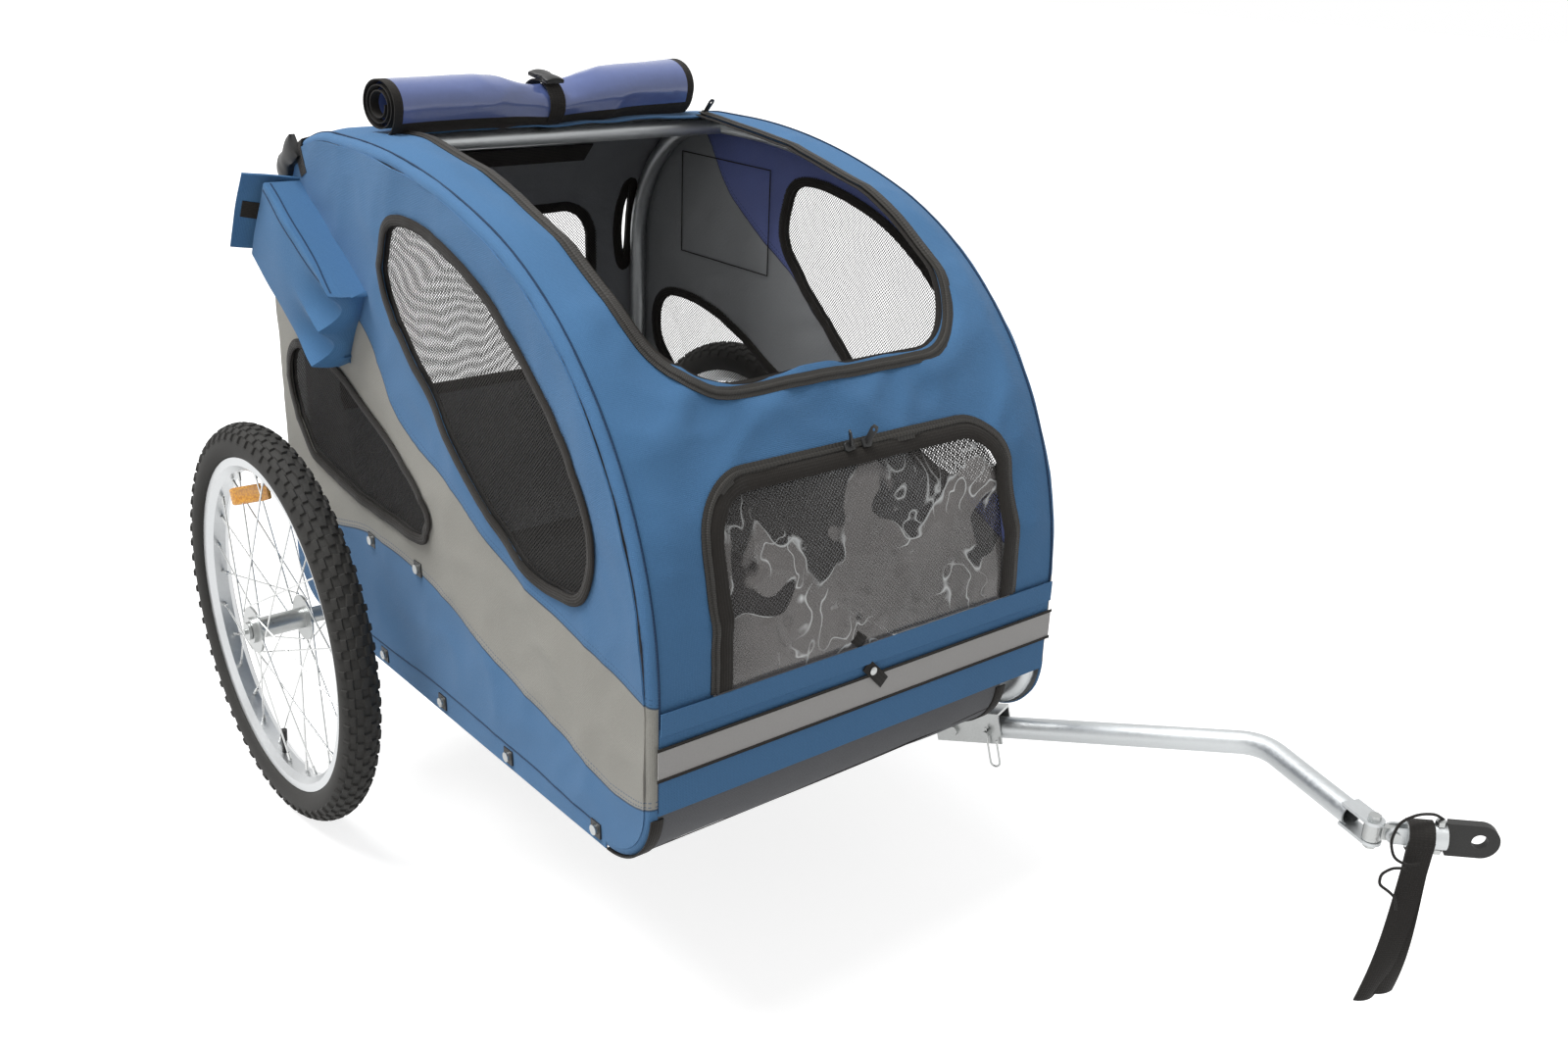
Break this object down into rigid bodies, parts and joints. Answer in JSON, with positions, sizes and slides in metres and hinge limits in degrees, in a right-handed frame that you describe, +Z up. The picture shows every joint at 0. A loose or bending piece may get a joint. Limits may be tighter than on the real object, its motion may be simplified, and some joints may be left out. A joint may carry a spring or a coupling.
{
  "type": "dog bike trailer",
  "caption": "Two-wheeled dog trailer for a bicycle: bent-tube frame, sewn cloth cabin with mesh windows and front door, spoked wheels, folding tow bar with swivel hitch and safety strap.",
  "frame": {"origin": "on the ground, below the middle of the whole length and width", "axes": "+X forward along the tow bar side, +Y to the trailer's left, +Z up"},
  "size_m": [1.437, 0.8164, 0.9342],
  "materials": {
    "frame_metal": "satin",
    "zinc": "zinc plated",
    "rim_metal": "satin",
    "spoke_metal": "bright",
    "tyre_rubber": "matte",
    "valve_cap": "matte",
    "amber": "glossy, clear",
    "blue_cloth": "woven",
    "grey_cloth": "woven",
    "charcoal_cloth": "woven",
    "mesh_cloth": "open net",
    "dark_binding": "ribbed tape",
    "clear_vinyl": "clear",
    "navy_vinyl": "glossy",
    "silver_tape": "reflective",
    "floor_panel": "matte",
    "black_plastic": "matte",
    "tongue_rubber": "fibrous",
    "black_webbing": "ribbed"
  },
  "bodies": {
    "trailer_body": {"side_bow_right": "frame_metal", "side_bow_left": "frame_metal", "floor_frame": "frame_metal", "roof_bar": "frame_metal", "floor_board": "floor_panel", "axle_plate_right": "zinc", "axle_plate_left": "zinc", "axle_right": "zinc", "axle_left": "zinc", "plate_bolts": "zinc", "side_cover_right": "blue_cloth", "side_cover_left": "blue_cloth", "side_mesh_right": "mesh_cloth", "side_mesh_left": "mesh_cloth", "front_apron": "charcoal_cloth", "front_band": "blue_cloth", "reflective_strip": "silver_tape", "front_cover": "blue_cloth", "roof_strips": "blue_cloth", "rear_cover": "grey_cloth", "rear_mesh": "mesh_cloth", "roof_roll": "navy_vinyl", "roll_strap": "black_webbing", "roll_buckle": "black_plastic", "corner_buckles": "black_plastic", "side_pocket": "blue_cloth", "cover_washers": "black_plastic", "cover_screws": "zinc", "tow_bracket": "zinc", "tow_pivot_bolt": "zinc"},
    "right_wheel": {"tyre_right": "tyre_rubber", "rim_right": "rim_metal", "hub_right": "zinc", "spokes_right": "spoke_metal", "reflector_right": "amber", "valve_right": "valve_cap"},
    "left_wheel": {"tyre_left": "tyre_rubber", "rim_left": "rim_metal", "hub_left": "zinc", "spokes_left": "spoke_metal", "reflector_left": "amber", "valve_left": "valve_cap"},
    "right_button": {"axle_button_right": "zinc"},
    "left_button": {"axle_button_left": "zinc"},
    "front_door": {"door_binding": "dark_binding", "door_window": "clear_vinyl", "door_mesh": "mesh_cloth", "zip_sliders": "black_plastic"},
    "pocket_flap": {"pocket_flap": "blue_cloth"},
    "tow_bar": {"tow_tube": "frame_metal", "swing_bolt": "zinc"},
    "lock_pin": {"lock_pin": "zinc", "spring_clip": "zinc"},
    "hitch_link": {"hitch_link": "zinc", "tilt_pin": "zinc"},
    "hitch_head": {"hitch_tube": "frame_metal", "hitch_tongue": "tongue_rubber", "hitch_bolt": "zinc", "safety_strap": "black_webbing"}
  },
  "joints": [
    {"name": "right_wheel_spin", "type": "hinge", "parent": "trailer_body", "child": "right_wheel", "pos_m": [-0.4655, -0.364, 0.253], "axis": [0, 1, 0], "continuous": true},
    {"name": "left_wheel_spin", "type": "hinge", "parent": "trailer_body", "child": "left_wheel", "pos_m": [-0.4655, 0.364, 0.253], "axis": [0, 1, 0], "continuous": true},
    {"name": "right_button_press", "type": "slide", "parent": "trailer_body", "child": "right_button", "axis": [0, 1, 0], "range_m": [0, 0.003], "stiffness_N_per_m": 600},
    {"name": "left_button_press", "type": "slide", "parent": "trailer_body", "child": "left_button", "axis": [0, -1, 0], "range_m": [0, 0.003], "stiffness_N_per_m": 600},
    {"name": "front_door_fold", "type": "hinge", "parent": "trailer_body", "child": "front_door", "pos_m": [0.2205, 0, 0.3937], "axis": [0, 1, 0], "range_deg": [0, 150]},
    {"name": "pocket_flap_fold", "type": "hinge", "parent": "trailer_body", "child": "pocket_flap", "pos_m": [-0.55584, -0.2783, 0.69471], "axis": [0.5299, 0, 0.848], "range_deg": [-28, 10]},
    {"name": "tow_bar_fold", "type": "hinge", "parent": "trailer_body", "child": "tow_bar", "pos_m": [0.1225, 0.248, 0.18], "axis": [-0.3256, 0.9455, 0], "range_deg": [0, 180], "deforming": ["safety_strap"]},
    {"name": "lock_pin_pull", "type": "slide", "parent": "trailer_body", "child": "lock_pin", "axis": [0.3256, -0.9455, 0], "range_m": [0, 0.06]},
    {"name": "hitch_swing", "type": "hinge", "parent": "tow_bar", "child": "hitch_link", "pos_m": [0.62675, 0.30484, 0.27231], "axis": [0, 0, 1], "range_deg": [-120, 5]},
    {"name": "hitch_tilt", "type": "hinge", "parent": "hitch_link", "child": "hitch_head", "pos_m": [0.64162, 0.31822, 0.27231], "axis": [-0.6691, 0.7431, 0], "range_deg": [-38, 32]}
  ]
}
